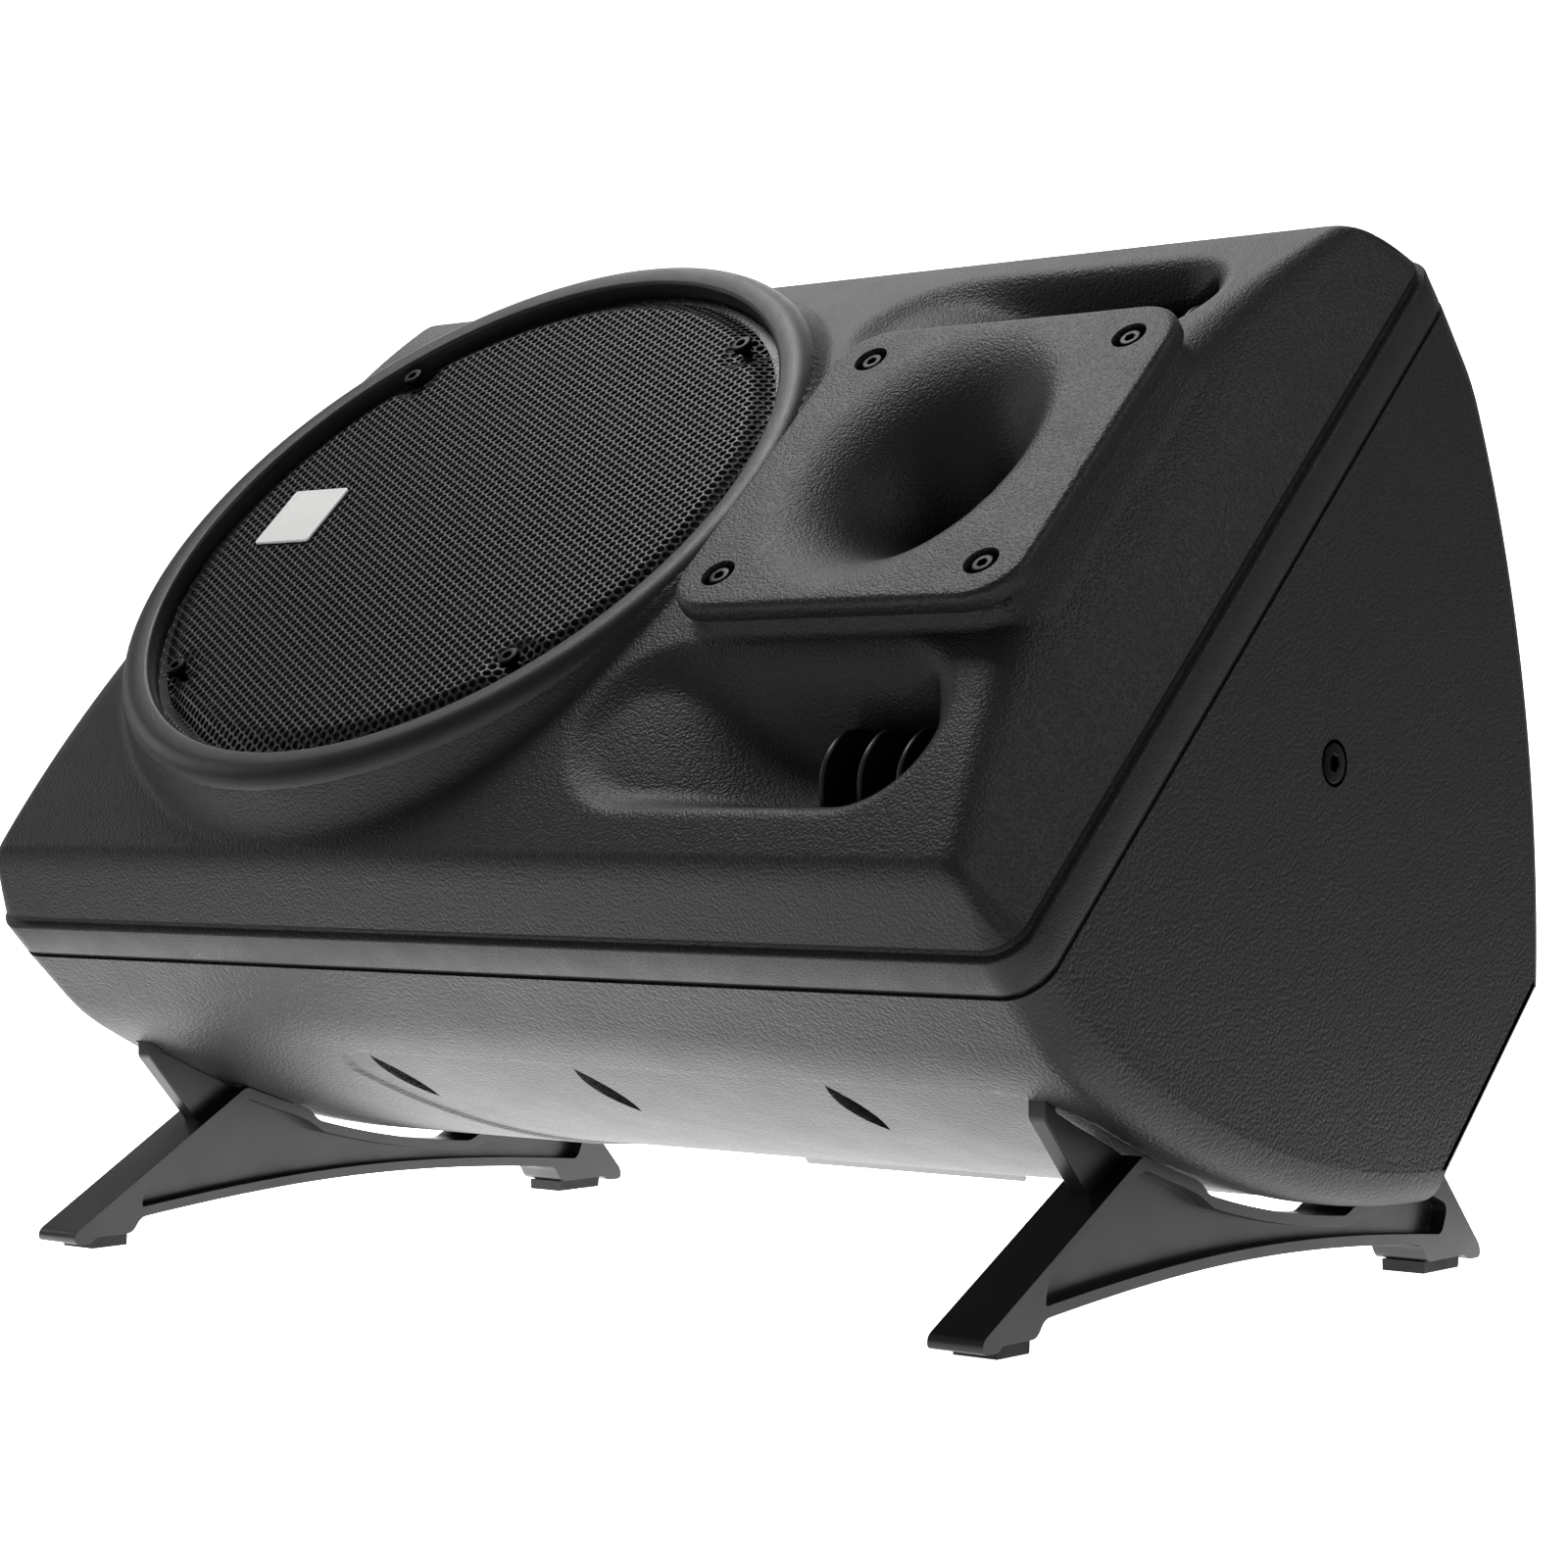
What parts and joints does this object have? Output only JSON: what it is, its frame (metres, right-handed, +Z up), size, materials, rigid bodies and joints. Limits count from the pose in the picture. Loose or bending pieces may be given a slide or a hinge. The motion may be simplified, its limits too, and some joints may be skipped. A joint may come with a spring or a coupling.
{
  "type": "stage monitor wedge",
  "caption": "Powered stage monitor: a moulded two-shell loudspeaker cabinet tipped back on clip-on feet, with a grilled woofer, horn and reflex scoops.",
  "frame": {"origin": "centre of the bounding box's bottom, on the floor that the feet's pads stand on", "axes": "+X along the cabinet towards the horn end, -Y the side that the baffle faces, +Z up"},
  "size_m": [0.5642, 0.4122, 0.4428],
  "materials": {
    "shell_plastic": "satin, pebble grain",
    "smooth_plastic": "satin",
    "grille_steel": "semi-gloss powder coat",
    "black_steel": "satin black oxide",
    "zinc_steel": "zinc plated",
    "aluminium": "brushed",
    "rubber": "matt",
    "foam": "open-cell foam",
    "paper": "pressed paper pulp",
    "ferrite": "plated plates and ferrite",
    "copper": "enamelled copper",
    "board": "solder mask",
    "white_label": "plain white, no lettering",
    "brass": "turned",
    "lamp": "clear lens"
  },
  "bodies": {
    "cabinet": {"front_shell": "shell_plastic", "rear_shell": "shell_plastic", "horn_waveguide": "shell_plastic", "seam_gasket": "foam", "horn_gasket": "foam", "acoustic_lining": "foam", "grille": "grille_steel", "badge": "white_label", "grille_screw_1": "black_steel", "grille_screw_2": "black_steel", "grille_screw_3": "black_steel", "grille_screw_4": "black_steel", "horn_screw_1": "black_steel", "horn_screw_2": "black_steel", "horn_screw_3": "black_steel", "horn_screw_4": "black_steel", "panel_screw_1": "black_steel", "panel_screw_2": "black_steel", "panel_screw_3": "black_steel", "panel_screw_4": "black_steel", "woofer_basket": "black_steel", "amp_panel": "black_steel", "rigging_screw_right": "black_steel", "rigging_screw_left": "black_steel", "woofer_screw_1": "zinc_steel", "woofer_screw_2": "zinc_steel", "woofer_screw_3": "zinc_steel", "woofer_screw_4": "zinc_steel", "woofer_magnet": "ferrite", "compression_driver": "ferrite", "woofer_spider": "paper", "woofer_surround": "rubber", "transformer": "copper", "driver_cap": "smooth_plastic", "reflex_duct_upper": "smooth_plastic", "reflex_duct_lower": "smooth_plastic", "mains_inlet": "smooth_plastic", "switch_housing": "smooth_plastic", "input_socket": "smooth_plastic", "link_socket": "smooth_plastic", "rigging_insert_right": "brass", "rigging_insert_left": "brass", "heatsink": "aluminium", "amp_board": "board", "power_light": "lamp"},
    "foot_right": {"foot_right": "smooth_plastic", "foot_right_front_pad": "rubber", "foot_right_rear_pad": "rubber"},
    "foot_left": {"foot_left": "smooth_plastic", "foot_left_front_pad": "rubber", "foot_left_rear_pad": "rubber"},
    "cone": {"woofer_cone": "paper", "woofer_dust_cap": "paper", "woofer_voice_coil": "copper"},
    "level_knob": {"level_knob": "rubber"},
    "treble_knob": {"treble_knob": "rubber"},
    "bass_knob": {"bass_knob": "rubber"},
    "power_rocker": {"power_rocker": "smooth_plastic"}
  },
  "joints": [
    {"name": "foot_right_pull", "type": "slide", "parent": "cabinet", "child": "foot_right", "axis": [0, 0, -1], "range_m": [0, 0.04]},
    {"name": "foot_left_pull", "type": "slide", "parent": "cabinet", "child": "foot_left", "axis": [0, 0, -1], "range_m": [0, 0.04]},
    {"name": "woofer_travel", "type": "slide", "parent": "cabinet", "child": "cone", "axis": [0, -0.6909, 0.723], "range_m": [-0.005, 0.005], "stiffness_N_per_m": 4000},
    {"name": "level_knob_turn", "type": "hinge", "parent": "cabinet", "child": "level_knob", "pos_m": [0.115, 0.17895, 0.09452], "axis": [0, 0.6909, -0.723], "range_deg": [-135, 135]},
    {"name": "treble_knob_turn", "type": "hinge", "parent": "cabinet", "child": "treble_knob", "pos_m": [0.115, 0.15726, 0.07379], "axis": [0, 0.6909, -0.723], "range_deg": [-135, 135]},
    {"name": "bass_knob_turn", "type": "hinge", "parent": "cabinet", "child": "bass_knob", "pos_m": [0.115, 0.13558, 0.05306], "axis": [0, 0.6909, -0.723], "range_deg": [-135, 135]},
    {"name": "power_rocker_tip", "type": "hinge", "parent": "cabinet", "child": "power_rocker", "pos_m": [-0.175, 0.15657, 0.07451], "axis": [0, -0.723, -0.6909], "range_deg": [0, 16]}
  ]
}
